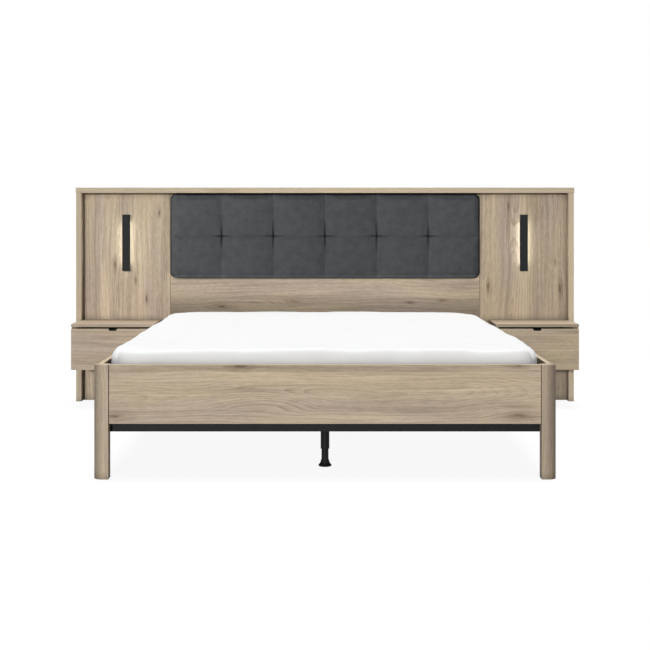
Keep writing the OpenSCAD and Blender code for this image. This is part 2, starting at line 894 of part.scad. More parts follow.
drawer_side(-1, drawer_x1 - drawer_wall);  // drawer_left_side_outer
drawer_side(1, drawer_x1 - drawer_wall);  // drawer_right_side_outer
drawer_side(-1, drawer_x0);  // drawer_left_side_inner
drawer_side(1, drawer_x0);  // drawer_right_side_inner
drawer_back(-1);  // drawer_left_back
drawer_back(1);  // drawer_right_back
drawer_bottom(-1);  // drawer_left_bottom
drawer_bottom(1);  // drawer_right_bottom
drawer_slides(-1);  // drawer_left_slides
drawer_slides(1);  // drawer_right_slides
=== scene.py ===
"""Looks of a bed with attached nightstands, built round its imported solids.

Metres, +Z up. The foot end looks to -Y, and X = 0 is the middle of the mattress.
"""

import functools
import math

import bmesh
import bpy
import numpy as np
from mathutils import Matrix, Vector, noise


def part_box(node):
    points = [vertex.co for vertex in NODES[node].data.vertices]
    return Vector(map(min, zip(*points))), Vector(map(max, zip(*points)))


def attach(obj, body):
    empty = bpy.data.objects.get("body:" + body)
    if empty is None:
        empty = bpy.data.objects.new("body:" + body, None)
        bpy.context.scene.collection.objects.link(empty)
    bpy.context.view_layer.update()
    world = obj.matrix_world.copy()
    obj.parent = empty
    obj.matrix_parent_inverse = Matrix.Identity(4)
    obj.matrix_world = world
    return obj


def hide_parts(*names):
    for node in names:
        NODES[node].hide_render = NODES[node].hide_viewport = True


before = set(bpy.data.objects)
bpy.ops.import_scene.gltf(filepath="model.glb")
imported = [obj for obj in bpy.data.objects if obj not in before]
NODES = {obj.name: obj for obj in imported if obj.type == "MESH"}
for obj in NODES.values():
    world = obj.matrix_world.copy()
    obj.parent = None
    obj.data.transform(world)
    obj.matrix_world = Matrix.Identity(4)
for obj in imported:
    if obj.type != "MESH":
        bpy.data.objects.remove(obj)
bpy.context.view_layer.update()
MM = 0.001
X, Y, Z = 0, 1, 2
# Keeps divisions off zero
TINY = 1e-9


def linked(name, data):
    """Puts new data into the scene as an object."""
    made = bpy.data.objects.new(name, data)
    bpy.context.scene.collection.objects.link(made)
    return made


# ---------------------------------------------------------------- Camera

# Straight on from the foot end, with the horizon above the middle of the picture
EYE = (0, -5.82, 0.958)
FOCAL_LENGTH, SENSOR_WIDTH, SHIFT = 72, 36, -0.1646

lens = bpy.data.cameras.new("camera")
lens.lens, lens.sensor_width, lens.shift_y = FOCAL_LENGTH, SENSOR_WIDTH, SHIFT
camera = linked("camera", lens)
camera.location = EYE
camera.rotation_euler = (math.pi / 2, 0, 0)
bpy.context.scene.camera = camera
bpy.context.scene.view_settings.view_transform = "Standard"


# ---------------------------------------------------------------- Node trees


def linear(code):
    """An sRGB hex colour as linear red, green, blue and alpha."""
    parts = [int(code[i : i + 2], 16) / 255 for i in (1, 3, 5)]
    return [c / 12.92 if c <= 0.04045 else ((c + 0.055) / 1.055) ** 2.4 for c in parts] + [1]


def add(tree, kind, inputs=None, **settings):
    """Adds a node. inputs gives its sockets a value, a hex colour, a node or a socket. They go
    by name or number: a MapRange takes its value at 0, the range it comes from at 1 and 2 and
    the one it goes to at 3 and 4, and a colour Mix takes its share at 0, its colours at 6 and
    7. A node stands for its first output in use."""
    made = tree.nodes.new("ShaderNode" + kind)
    for name, value in settings.items():
        setattr(made, name, value)
    for key, value in (inputs or {}).items():
        if isinstance(value, bpy.types.Node):
            value = next(socket for socket in value.outputs if socket.enabled)
        if isinstance(value, bpy.types.NodeSocket):
            tree.links.new(value, made.inputs[key])
        else:
            made.inputs[key].default_value = linear(value) if isinstance(value, str) else value
    return made


def material(name, finish, shader="BsdfPrincipled"):
    """A material whose shader takes what finish(tree) returns."""
    made = bpy.data.materials.new(name)
    made.use_nodes = True
    tree = made.node_tree
    tree.nodes.clear()
    add(tree, "OutputMaterial", {"Surface": add(tree, shader, finish(tree))})
    return made


def dress(obj, finish):
    """Every slot of the piece takes this material."""
    if not obj.data.materials:
        obj.data.materials.append(None)
    for place in obj.material_slots:
        place.material = finish


# ---------------------------------------------------------------- Oak foil

# Thickness of the edging strip
EDGING = 1.6 * MM
OAK_GOLD, OAK_ROSE, OAK_EDGE = "#C4B296", "#B7A695", "#C5B59B"
OAK_LINE, OAK_KNOT = "#846E58", "#594839"
# A knot's width as a share of its length, how soon the grain's swing round it dies away, and
# how many radii off it leaves no mark
KNOT_SLIM, KNOT_SWING, NO_KNOT = 0.28, 0.42, 9.0
# Rings to the metre, and how far apart in the print two logs are cut
RINGS, LOG_APART = 180.0, 37.0


def oak_foil(
    board,
    order,
    shift,
    tone=1.0,
    figure=1.0,
    plank=118,
    knots=(),
    arches=(),
    corner=None,
    painted_fade=None,
):
    """Particle board in oak foil: a print of dry sawn planks, sand to grey brown, with
    streaks and growth rings that run round dark knots, and fine pores pressed along them.
    order is the grain's axis, the axis across it on the wide face, and the thickness. shift
    says where in the print the board was cut, tone how light it is there and figure how
    strong. A knot has its place along and across the board and its radius, and an arch, where
    the rings close round a buried knot, its place, half its length and width, and its rings.
    Those and the planks' width are in millimetres. corner is painted shade at a rounded front
    corner, darker toward its outer side where light falls off round it: its side, reach and
    shade. painted_fade is painted shade on the front face, darker downward: the height below
    which it is darkest, the height where it is even again, and the shade."""
    low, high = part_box(board)

    def finish(tree):
        put = functools.partial(add, tree)
        raw = put("SeparateXYZ", {0: put("TexCoord").outputs["Object"]}).outputs
        turned = put("CombineXYZ", {i: raw[axis] for i, axis in enumerate(order)})
        across = raw[order[1]]

        def from_mark(u, v, *shares):
            """The way from a mark in the print, in metres and in shares of its reach."""
            away = put("VectorMath", {0: turned, 1: (u * MM, v * MM, 0)}, operation="SUBTRACT")
            return away, put("VectorMath", {0: away, 1: (*shares, 0)}, operation="MULTIPLY")

        # Knots: the grain flows round each of them
        near = NO_KNOT
        for u, v, radius in knots:
            size = radius * MM
            away, scaled = from_mark(u, v, KNOT_SLIM / size, 1 / size)
            far = put("VectorMath", {0: scaled}, operation="LENGTH")
            reach = put("Math", {0: far, 1: KNOT_SWING}, operation="MULTIPLY")
            square = put("Math", {0: reach, 1: reach}, operation="MULTIPLY")
            fade = put("Math", {0: square, 1: -1.0}, operation="MULTIPLY")
            pull = put("Math", {0: fade}, operation="EXPONENT")
            aside = put("SeparateXYZ", {0: away}).outputs[Y]
            push = put("Math", {0: aside, 1: pull}, operation="MULTIPLY")
            across = put("Math", {0: across, 1: push}, operation="SUBTRACT")
            near = put("Math", {0: far, 1: near}, operation="MINIMUM")

        flowing = put("CombineXYZ", {0: raw[order[0]], 1: across, 2: raw[order[2]]})
        start = (*shift, -low[order[2]])
        laid = put("VectorMath", {0: flowing, 1: start}, operation="ADD")

        def strata(at, *density, detail=2.0, rough=0.55):
            """Noise with so many cells to the metre along, across and through the board."""
            scaled = put("VectorMath", {0: at, 1: density}, operation="MULTIPLY")
            cells = {"Vector": scaled, "Scale": 1, "Detail": detail, "Roughness": rough}
            return put("TexNoise", cells)

        # The grain wanders up to 45 mm off the board's length
        bend = strata(laid, 1.1, 4, 4)
        sway = put("Math", {0: bend, 1: 0.09, 2: -0.045}, operation="MULTIPLY_ADD")
        wander = put("CombineXYZ", {1: sway})
        bent = put("VectorMath", {0: laid, 1: wander}, operation="ADD")
        u, v, w = put("SeparateXYZ", {0: bent}).outputs
        straight = put("SeparateXYZ", {0: laid}).outputs[Y]

        # Planks beside each other, each with its own heart, log and tone
        rows = put("Math", {0: straight, 1: plank * MM}, operation="DIVIDE")
        row = put("Math", {0: rows}, operation="FLOOR")
        own = put("TexWhiteNoise", {"W": row}, noise_dimensions="1D")
        chance = put("SeparateColor", {0: own.outputs["Color"]}).outputs
        middle = put("Math", {0: row, 1: chance[0]}, operation="ADD")
        heart = put("Math", {0: middle, 1: plank * MM}, operation="MULTIPLY")
        beside = put("Math", {0: v, 1: heart}, operation="SUBTRACT")

        # Growth rings: the distance from the heart of the log, which comes and goes
        log = put("Math", {0: chance[1], 1: LOG_APART}, operation="MULTIPLY")
        along = put("Math", {0: u, 1: 0.8, 2: log}, operation="MULTIPLY_ADD")
        rise = put("TexNoise", {"W": along, "Scale": 1, "Detail": 1}, noise_dimensions="1D")
        depth = put("Math", {0: rise, 1: 0.16, 2: -0.05}, operation="MULTIPLY_ADD")
        deep = put("Math", {0: depth, 1: w}, operation="ADD")
        flat = put("CombineXYZ", {0: beside, 1: deep})
        distance = put("VectorMath", {0: flat}, operation="LENGTH")
        drift = strata(bent, 1.3, 9, 9)
        uneven = put("Math", {0: drift, 1: 0.035, 2: distance}, operation="MULTIPLY_ADD")
        count = put("Math", {0: uneven, 1: RINGS}, operation="MULTIPLY")
        clearer = 0.0
        for arch_u, arch_v, long, wide, rings in arches:
            scaled = from_mark(arch_u, arch_v, 1 / (long * MM), 1 / (wide * MM))[1]
            square = put("VectorMath", {0: scaled, 1: scaled}, operation="DOT_PRODUCT")
            fade = put("Math", {0: square, 1: -1.0}, operation="MULTIPLY")
            rising = put("Math", {0: fade}, operation="EXPONENT")
            count = put("Math", {0: rising, 1: rings, 2: count}, operation="MULTIPLY_ADD")
            clearer = put("Math", {0: rising, 1: 0.4, 2: clearer}, operation="MULTIPLY_ADD")
        within = put("Math", {0: count}, operation="FRACT")
        ring = put("Math", {0: within, 1: 2.5}, operation="POWER")

        # Streaks of 35 mm, fibres of 7 mm, saw marks that break both into short pieces, and
        # pores of 2 mm, four times too coarse
        streak = strata(bent, 0.9, 30, 30, detail=3)
        fibre = strata(bent, 1.6, 150, 150, detail=4, rough=0.82)
        sawn = strata(bent, 24, 90, 90, detail=4, rough=0.8)
        pitted = strata(bent, 28, 520, 520, detail=1)
        pore = put("MapRange", {0: pitted, 1: 0.58, 2: 0.72, 3: 0, 4: 1})

        # Light and dark: streaks, saw marks and fibres together, round an even middle
        layered = put("Math", {0: streak, 1: 1.0, 2: -2.5}, operation="MULTIPLY_ADD")
        broken = put("Math", {0: sawn, 1: 1.2, 2: layered}, operation="MULTIPLY_ADD")
        centred = put("Math", {0: fibre, 1: 2.8, 2: broken}, operation="MULTIPLY_ADD")
        own_tone = put("Math", {0: chance[2], 1: 0.16, 2: 0.92}, operation="MULTIPLY_ADD")
        contrast = {0: centred, 1: 0.42 * figure, 2: own_tone}
        value = put("Math", contrast, operation="MULTIPLY_ADD")
        cloud = strata(bent, 1.4, 9, 9)
        hue = put("MapRange", {0: cloud, 1: 0.36, 2: 0.64, 3: 0, 4: 1})
        ground = put("Mix", {0: hue, 6: OAK_GOLD, 7: OAK_ROSE}, data_type="RGBA")
        shaded = put("HueSaturation", {"Value": value, "Color": ground})

        # Dark lines at the late wood, pores, and mineral stains
        faint = put("MapRange", {0: streak, 1: 0.62, 2: 0.38, 3: 0.06, 4: 0.26 * figure})
        strength = put("Math", {0: faint, 1: clearer}, operation="ADD")
        line = put("Math", {0: ring, 1: strength}, operation="MULTIPLY")
        patch = strata(bent, 2.2, 20, 20)
        stained = put("MapRange", {0: patch, 1: 0.38, 2: 0.26, 3: 0, 4: 0.45})
        marks = put("Math", {0: pore, 1: 0.2, 2: line}, operation="MULTIPLY_ADD")
        marked = put("Math", {0: marks, 1: stained}, operation="ADD")
        clear = put("Math", {0: marked, 1: 0.85}, operation="MINIMUM")
        wood = put("Mix", {0: clear, 6: shaded, 7: OAK_LINE}, data_type="RGBA")

        # Knots: a dark halo that fades along the grain, and in it a ragged darker core
        ragged = put("Math", {0: fibre, 1: 3.2, 2: -1.6}, operation="MULTIPLY_ADD")
        torn = put("Math", {0: near, 1: ragged}, operation="ADD")
        for inner, outer, most, colour in ((0.7, 3.6, 0.42, OAK_LINE), (0.2, 1.1, 0.65, OAK_KNOT)):
            share = put(
                "MapRange",
                {0: torn, 1: inner, 2: outer, 3: most, 4: 0},
                interpolation_type="SMOOTHSTEP",
            )
            wood = put("Mix", {0: share, 6: wood, 7: colour}, data_type="RGBA")

        # Edging strip, seen as a lighter line where it meets the wide face
        nearest = 1.0
        for axis in order[:2]:
            for side, sign in ((low[axis], 1), (high[axis], -1)):
                inward = {0: raw[axis], 1: sign, 2: -sign * side}
                gap = put("Math", inward, operation="MULTIPLY_ADD")
                nearest = put("Math", {0: gap, 1: nearest}, operation="MINIMUM")
        strip = put("MapRange", {0: nearest, 1: EDGING, 2: 1.3 * EDGING, 3: 0.55, 4: 0})
        edged = put("Mix", {0: strip, 6: wood, 7: OAK_EDGE}, data_type="RGBA")

        level = tone
        # Painted shade: darker toward the outer side of a rounded front corner
        if corner:
            side, reach, shade = corner
            nearby = put("MapRange", {0: raw[X], 1: side, 2: side + reach, 3: 1, 4: 0})
            front = put("MapRange", {0: raw[Y], 1: low.y + 28 * MM, 2: high.y, 3: 1, 4: 0})
            painted_corner_share = put("Math", {0: nearby, 1: front}, operation="MULTIPLY")
            darker = {0: painted_corner_share, 1: (shade - 1) * tone, 2: tone}
            level = put("Math", darker, operation="MULTIPLY_ADD")
        # Painted shade: the front face darker downward, and darker all over below darkest_z
        if painted_fade:
            darkest_z, even_z, shade = painted_fade
            front = put("MapRange", {0: raw[Y], 1: low.y + MM, 2: low.y + 3 * MM, 3: 1, 4: 0})
            faded = put(
                "MapRange",
                {0: raw[Z], 1: darkest_z, 2: even_z, 3: shade - 1, 4: 0},
                interpolation_type="SMOOTHSTEP",
            )
            share = put("Math", {0: faded, 1: front, 2: 1}, operation="MULTIPLY_ADD")
            level = put("Math", {0: share, 1: level}, operation="MULTIPLY")

        # Painted shade: darker within 50 mm of another piece, in corners and slots
        open_air = put("AmbientOcclusion", {"Distance": 50 * MM}, samples=8).outputs["AO"]
        painted_occlusion = put("MapRange", {0: open_air, 1: 0.1, 2: 0.85, 3: 0.3, 4: 1})
        shown = put("Math", {0: painted_occlusion, 1: level}, operation="MULTIPLY")
        toned = put("HueSaturation", {"Value": shown, "Color": edged})

        relief = put("Math", {0: pore, 1: -0.6, 2: fibre}, operation="MULTIPLY_ADD")
        return {
            "Base Color": toned,
            "Roughness": put("MapRange", {0: centred, 1: -0.5, 2: 0.5, 3: 0.64, 4: 0.5}),
            "Specular IOR Level": 0.14,
            "IOR": 1.5,
            "Normal": put("Bump", {"Height": relief, "Strength": 0.12, "Distance": 0.6 * MM}),
        }

    return material("oak_foil_" + board, finish)


# Boards: grain axis, axis across and thickness, then where in the print the board was cut
BOARDS = {
    "headboard_top": dict(order=(X, Y, Z), shift=(0.3, 0.02), tone=0.96),
    "headboard_gable_left": dict(order=(Z, Y, X), shift=(2.1, 0.4)),
    "headboard_gable_right": dict(order=(Z, Y, X), shift=(5.3, 0.9)),
    "headboard_panel_left": dict(
        order=(Z, X, Y),
        shift=(7.7, 3.02),
        tone=0.98,
        figure=1.5,
        knots=[(712, -1105, 6), (983, -872, 5), (630, -996, 4), (531, -940, 6)],
        arches=[(800, -1000, 160, 36, 4)],
    ),
    # Its lower tone is painted shade, darker on the right, away from the light
    "headboard_panel_right": dict(
        order=(Z, X, Y),
        shift=(9.2, 5.31),
        tone=0.86,
        figure=1.4,
        knots=[(600, 859, 5), (728, 1211, 3), (1020, 966, 3), (587, 1237, 6)],
        arches=[(900, 985, 160, 40, 4), (560, 930, 140, 44, 4)],
    ),
    "headboard_panel_center": dict(
        order=(X, Z, Y),
        shift=(3.7, 1.03),
        tone=0.93,
        figure=1.3,
        knots=[(-544, 492, 9), (-174, 519, 6), (449, 513, 4), (618, 524, 4)],
        arches=[(-380, 540, 260, 40, 4)],
        # Painted shade: the front face darker toward the mattress below
        painted_fade=(0.45, 0.6, 0.58),
    ),
    "footboard": dict(
        order=(X, Z, Y),
        shift=(12.4, 8.916),
        tone=0.99,
        figure=1.25,
        plank=190,
        knots=[(-309, 416, 7), (721, 233, 9), (-769, 231, 8), (710, 417, 5)],
        arches=[(-190, 285, 200, 58, 8), (640, 236, 190, 34, 2)],
    ),
    # Both legs' corner entries are painted shade, darker toward their outer rounded sides
    "leg_left": dict(
        order=(Z, X, Y),
        shift=(1.4, 4.2),
        figure=0.8,
        corner=(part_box("leg_left")[0].x, 0.036, 0.5),
    ),
    # Its lower tone is painted shade, darker on the right, away from the light
    "leg_right": dict(
        order=(Z, X, Y),
        shift=(4.4, 6.2),
        tone=0.9,
        figure=0.8,
        corner=(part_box("leg_right")[1].x, -0.044, 0.4),
    ),
    "side_rail_left": dict(order=(Y, Z, X), shift=(6.4, 7.1)),
    "side_rail_right": dict(order=(Y, Z, X), shift=(2.4, 8.1)),
}
# Heights above the nightstands' tops, so that their whole front edges take the painted shade
OVER_TOPS = (1.0, 1.1)
# Per side: where in the print, the painted shade on the top's front edge, and the drawer front's
# tone, lower on the right as painted shade
for left_right, at, edge_shade, front_tone in (("left", 0.7, 0.95, 1.0), ("right", 4.9, 0.7, 0.87)):
    nightstand = f"nightstand_{left_right}_"
    BOARDS[f"headboard_batten_{left_right}"] = dict(order=(Z, X, Y), shift=(at, 8.3))
    BOARDS[nightstand + "top"] = dict(
        order=(X, Y, Z), shift=(at, 9.3), tone=0.9, painted_fade=(*OVER_TOPS, edge_shade)
    )
    BOARDS[nightstand + "side_outer"] = dict(order=(Y, Z, X), shift=(at, 10.2))
    BOARDS[nightstand + "side_inner"] = dict(order=(Y, Z, X), shift=(at, 11.2))
    BOARDS[nightstand + "bottom"] = dict(order=(X, Y, Z), shift=(at, 12.3))
    BOARDS[f"drawer_{left_right}_front"] = dict(
        order=(X, Z, Y), shift=(at, 13.3), tone=front_tone
    )
for board, cut in BOARDS.items():
    dress(NODES[board], oak_foil(board, **cut))


# ---------------------------------------------------------------- Other finishes


def speckle(tree, pitch, detail=2.0, finer=(1, 1, 1)):
    """A noise pattern with cells of this size in metres, so many times finer on each axis."""
    place = add(tree, "TexCoord").outputs["Object"]
    density = [times / pitch for times in finer]
    scaled = add(tree, "VectorMath", {0: place, 1: density}, operation="MULTIPLY")
    return add(tree, "TexNoise", {"Vector": scaled, "Scale": 1, "Detail": detail, "Roughness": 0.6})


def graphite_melamine(tree):
    """Graphite grey melamine-faced board with a pressed pearl texture: even, dark and matt."""
    grain = speckle(tree, 3 * MM)
    cloud = speckle(tree, 120 * MM)
    return {
        "Base Color": add(tree, "Mix", {0: cloud, 6: "#2E2D2D", 7: "#373635"}, data_type="RGBA"),
        "Roughness": 0.5,
        "Specular IOR Level": 0.2,
        "IOR": 1.5,
        "Normal": add(tree, "Bump", {"Height": grain, "Strength": 0.15, "Distance": 0.2 * MM}),
    }


def birch_veneer(tree):
    """Rotary-cut birch, glued and lacquered: pale, satin, with fine darker dashes along X."""
    flow = speckle(tree, 60 * MM, 3, (0.35, 6, 6))
    dash = speckle(tree, 5 * MM, 1, (0.12, 1.4, 1.4))
    mark = add(tree, "MapRange", {0: dash, 1: 0.62, 2: 0.75, 3: 0, 4: 0.5})
    body = add(tree, "Mix", {0: flow, 6: "#E2CDA6", 7: "#CBB083"}, data_type="RGBA")
    return {
        "Base Color": add(tree, "Mix", {0: mark, 6: body, 7: "#A98A5E"}, data_type="RGBA"),
        "Roughness": 0.38,
        "IOR": 1.5,
        "Normal": add(tree, "Bump", {"Height": dash, "Strength": 0.1, "Distance": 0.3 * MM}),
    }


def powder_coated_steel(tree):
    """Steel tube in black polyester powder: satin, with an orange peel of 2 mm, drawn
    about twice too coarse, that breaks up its reflections."""
    peel = speckle(tree, 4 * MM, 1)
    dust = speckle(tree, 45 * MM, 3)
    return {
        "Base Color": add(tree, "Mix", {0: dust, 6: "#131314", 7: "#1D1D1D"}, data_type="RGBA"),
        "Roughness": add(tree, "MapRange", {0: dust, 1: 0.3, 2: 0.7, 3: 0.38, 4: 0.5}),
        "Specular IOR Level": 0.1,
        "IOR": 1.5,
        "Normal": add(tree, "Bump", {"Height": peel, "Strength": 0.12, "Distance": 0.3 * MM}),
    }


def anodised_aluminium(tree):
    """Extruded aluminium, bead blasted and anodised black: dry graphite with a fine grit."""
    grit = speckle(tree, 1.5 * MM, 1)
    draw = speckle(tree, 20 * MM, 2, (3, 3, 0.15))
    return {
        "Base Color": add(tree, "Mix", {0: draw, 6: "#161718", 7: "#1F2021"}, data_type="RGBA"),
        "Roughness": 0.55,
        "Specular IOR Level": 0.12,
        "Normal": add(tree, "Bump", {"Height": grit, "Strength": 0.08, "Distance": 0.1 * MM}),
    }


def opal_acrylic(tree):
    """Opal acrylic lit from inside by a white strip: even, with soft brighter points. The
    strip sits toward the outer side, which is the brighter one."""
    points = speckle(tree, 14 * MM, 0, (0.4, 0.4, 1))
    glow = add(tree, "MapRange", {0: points, 1: 0.3, 2: 0.7, 3: 6.0, 4: 7.2})
    place = add(tree, "SeparateXYZ", {0: add(tree, "TexCoord").outputs["Object"]}).outputs
    out = add(tree, "Math", {0: place[X]}, operation="ABSOLUTE")
    inner_side, outer_side = 1.036, 1.05
    side = add(tree, "MapRange", {0: out, 1: inner_side, 2: outer_side, 3: 1, 4: 1.15})
    return {
        "Base Color": "#F4EEDF",
        "Roughness": 0.35,
        "IOR": 1.49,
        "Emission Color": "#F4FBFB",
        "Emission Strength": add(tree, "Math", {0: glow, 1: side}, operation="MULTIPLY"),
    }


def elastomer(tree):
    """Moulded black polypropylene, soft to the touch: matt with a faint spark texture."""
    spark = speckle(tree, 1.2 * MM, 1)
    wear = speckle(tree, 25 * MM, 2)
    return {
        "Base Color": add(tree, "Mix", {0: wear, 6: "#1B1B1C", 7: "#272728"}, data_type="RGBA"),
        "Roughness": 0.62,
        "IOR": 1.49,
        "Normal": add(tree, "Bump", {"Height": spark, "Strength": 0.2, "Distance": 0.15 * MM}),
    }


def zinc_plated_steel(tree):
    """Rolled steel strip, bright zinc: grey with streaks along the slide and dull patches."""
    streak = speckle(tree, 12 * MM, 3, (6, 0.15, 6))
    bloom = speckle(tree, 30 * MM, 2)
    return {
        "Base Color": add(tree, "Mix", {0: streak, 6: "#A6A9AC", 7: "#C6C8CA"}, data_type="RGBA"),
        "Metallic": 1.0,
        "Roughness": add(tree, "MapRange", {0: bloom, 1: 0.3, 2: 0.7, 3: 0.28, 4: 0.45}),
    }


# Sewn fields in each of the headboard cushion's two rows
COLUMNS = 6


def velvet(tree):
    """Short-pile polyester velvet, slate grey: the pile lies in brushed patches, light and
    dark. Painted light and shade: a little paler on the left of each sewn field and darker on
    its right, paler toward the pad's left, right and top rims, and painted shade, near black,
    where it is turned in behind the edge. The 0.3 mm pile is drawn at 2 mm."""
    brushed = speckle(tree, 42 * MM, 3)
    nap = speckle(tree, 9 * MM, 2, (1.3, 1, 0.8))
    pile = speckle(tree, 2 * MM, 1)
    blend = add(tree, "Math", {0: nap, 1: 0.45, 2: brushed}, operation="MULTIPLY_ADD")
    part = add(tree, "MapRange", {0: blend, 1: 0.52, 2: 0.92, 3: 0, 4: 1})
    open_pile = add(tree, "Mix", {0: part, 6: "#3E4042", 7: "#46484A"}, data_type="RGBA")

    low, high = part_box("headboard_cushion")
    back, middle, field = high.y, (low + high) / 2, (high.x - low.x) / COLUMNS
    place = add(tree, "SeparateXYZ", {0: add(tree, "TexCoord").outputs["Object"]}).outputs
    from_left = add(tree, "Math", {0: place[X], 1: -low.x}, operation="ADD")
    fields = add(tree, "Math", {0: from_left, 1: field}, operation="DIVIDE")
    across = add(tree, "Math", {0: fields}, operation="FRACT")
    # Painted light and shade across each sewn field: paler at its left, darker at its right
    painted_light = add(tree, "MapRange", {0: across, 1: 0, 2: 1, 3: 1.1, 4: 0.9})
    # Painted light: the pad is paler toward its left, right and top, and paler still along its
    # left, lower and upper rims
    for axis, rim, end, gain in (
        (X, low.x, middle.x, 1.3),
        (X, high.x, middle.x, 1.14),
        (Z, high.z, low.z, 1.22),
        (X, low.x, low.x + 50 * MM, 1.3),
        (Z, low.z, low.z + 20 * MM, 2.6),
        (Z, high.z, high.z - 25 * MM, 1.3),
    ):
        lit = add(tree, "MapRange", {0: place[axis], 1: rim, 2: end, 3: gain, 4: 1})
        painted_light = add(tree, "Math", {0: painted_light, 1: lit}, operation="MULTIPLY")
    laid = add(tree, "HueSaturation", {"Value": painted_light, "Color": open_pile})

    # Painted shade: near black where the pad turns in toward its board, less dark near its left and
    # lower rims
    turned = add(tree, "MapRange", {0: place[Y], 1: back - 24 * MM, 2: back - 13 * MM, 3: 0, 4: 1})
    for axis, rim in ((X, low.x), (Z, low.z)):
        shady = add(tree, "MapRange", {0: place[axis], 1: rim, 2: rim + 60 * MM, 3: 0.55, 4: 1})
        turned = add(tree, "Math", {0: turned, 1: shady}, operation="MULTIPLY")
    lay = add(tree, "Bump", {"Height": blend, "Strength": 0.25, "Distance": 1.2 * MM})
    raised = {"Height": pile, "Strength": 0.3, "Distance": 0.4 * MM, "Normal": lay}
    return {
        "Base Color": add(tree, "Mix", {0: turned, 6: laid, 7: "#1F1E1E"}, data_type="RGBA"),
        "Roughness": 0.92,
        "Specular IOR Level": 0.1,
        "Sheen Weight": 0.06,
        "Sheen Roughness": 0.35,
        "Sheen Tint": "#C9D3DE",
        "Normal": add(tree, "Bump", raised),
    }


def weave(tree, thread):
    """Height of a plain weave with this thread spacing, on all three axes at once."""
    place = add(tree, "TexCoord").outputs["Object"]
    turn = 2 * math.pi / thread
    scaled = add(tree, "VectorMath", {0: place, 1: (turn, turn, turn)}, operation="MULTIPLY")
    waves = add(tree, "VectorMath", {0: scaled}, operation="SINE")
    split = add(tree, "SeparateXYZ", {0: waves}).outputs
    cross = add(tree, "Math", {0: split[X], 1: split[Y]}, operation="MULTIPLY")
    return add(tree, "Math", {0: split[Z], 1: 0.5, 2: cross}, operation="MULTIPLY_ADD")


def cotton_sateen(tree):
    """White cotton sateen sheet, ironed: bright and soft, with painted shade, grey, in its hollows
    and where other pieces come near. The 0.3 mm threads are drawn at 2.4 mm."""
    threads = weave(tree, 2.4 * MM)
    creased = speckle(tree, 90 * MM, 3)
    cloth = add(tree, "Mix", {0: creased, 6: "#E4E5E6", 7: "#EAEAE9"}, data_type="RGBA")
    # Painted shade: grey where an ambient occlusion mask finds other surfaces within 70 mm
    open_air = add(tree, "AmbientOcclusion", {"Distance": 70 * MM}, samples=8).outputs["AO"]
    lit = add(tree, "MapRange", {0: open_air, 1: 0.35, 2: 0.95, 3: 0, 4: 1})
    soft = add(tree, "Bump", {"Height": creased, "Strength": 0.2, "Distance": 3 * MM})
    raised = {"Height": threads, "Strength": 0.06, "Distance": 0.2 * MM, "Normal": soft}
    return {
        "Base Color": add(tree, "Mix", {0: lit, 6: "#A9ABAE", 7: cloth}, data_type="RGBA"),
        "Roughness": 0.85,
        "Specular IOR Level": 0.2,
        "Sheen Weight": 0.1,
        "Sheen Roughness": 0.4,
        "Normal": add(tree, "Bump", raised),
    }


def ticking(tree):
    """Knitted mattress cover, undyed polyester: off-white with a soft looped surface."""
    loops = weave(tree, 6 * MM)
    fuzz = speckle(tree, 30 * MM, 3)
    return {
        "Base Color": add(tree, "Mix", {0: fuzz, 6: "#D9D6CE", 7: "#E8E6E0"}, data_type="RGBA"),
        "Roughness": 0.9,
        "Sheen Weight": 0.15,
        "Normal": add(tree, "Bump", {"Height": loops, "Strength": 0.4, "Distance": 0.8 * MM}),
    }


MELAMINE = material("graphite_melamine_board", graphite_melamine)
BIRCH = material("lacquered_birch", birch_veneer)
BLACK_STEEL = material("powder_coated_steel", powder_coated_steel)
ALUMINIUM = material("anodised_aluminium", anodised_aluminium)
OPAL = material("lit_opal_acrylic", opal_acrylic)
PLASTIC = material("moulded_polypropylene", elastomer)
ZINC = material("zinc_plated_steel", zinc_plated_steel)

for name, node in NODES.items():
    if name in BOARDS:
        continue
    if name.startswith(("base_", "support_")):
        dress(node, BLACK_STEEL)
    elif name.endswith("_slides"):
        dress(node, ZINC)
    elif name.startswith("slats_") or name == "cushion_board":
        dress(node, BIRCH)
    elif name.startswith("slat_caps"):
        dress(node, PLASTIC)
    elif name.endswith("_cover"):
        dress(node, ALUMINIUM)
    elif name.endswith("_diffuser"):
        dress(node, OPAL)
    else:
        dress(node, MELAMINE)

# Arrises: every board and cover loses its sharp edge to a small round
BOARD_ARRIS, COVER_ARRIS = 1.0 * MM, 0.6 * MM
for name, node in NODES.items():
    if name in BOARDS or name.endswith("_cover"):
        weld = node.modifiers.new("weld", "WELD")
        weld.merge_threshold = 0.01 * MM
        arris = node.modifiers.new("arris", "BEVEL")
        arris.width = BOARD_ARRIS if name in BOARDS else COVER_ARRIS
        arris.segments = 2
        arris.limit_method = "ANGLE"
        arris.angle_limit = math.radians(40)
        arris.harden_normals = False
        even = node.modifiers.new("even", "WEIGHTED_NORMAL")
        even.keep_sharp = False


# ---------------------------------------------------------------- Padded forms

# Places beside a seam in millimetres, steps in a quarter turn, and a gap too small to keep
SEAM_STEPS = (0, 1.3, 2.8, 4.8, 7.5, 11)
TURN_STEPS = 8
SAME_PLACE = 1e-6


def quarter_turn(radius):
    """How far in each step of a quarter turn stands from where it starts."""
    angles = [k * math.pi / 2 / TURN_STEPS for k in range(TURN_STEPS + 1)]
    return [radius * (1 - math.cos(angle)) for angle in angles]


def rounded(share):
    """Height of a quarter round at this share of its width, as a share of its radius."""
    return np.sqrt(np.clip(1 - (1 - np.clip(share, 0, 1)) ** 2, 0, 1))


def hill(distance, reach):
    """1 in the middle of a soft hill, and near 0 from twice its reach."""
    return np.exp(-((distance / reach) ** 2))


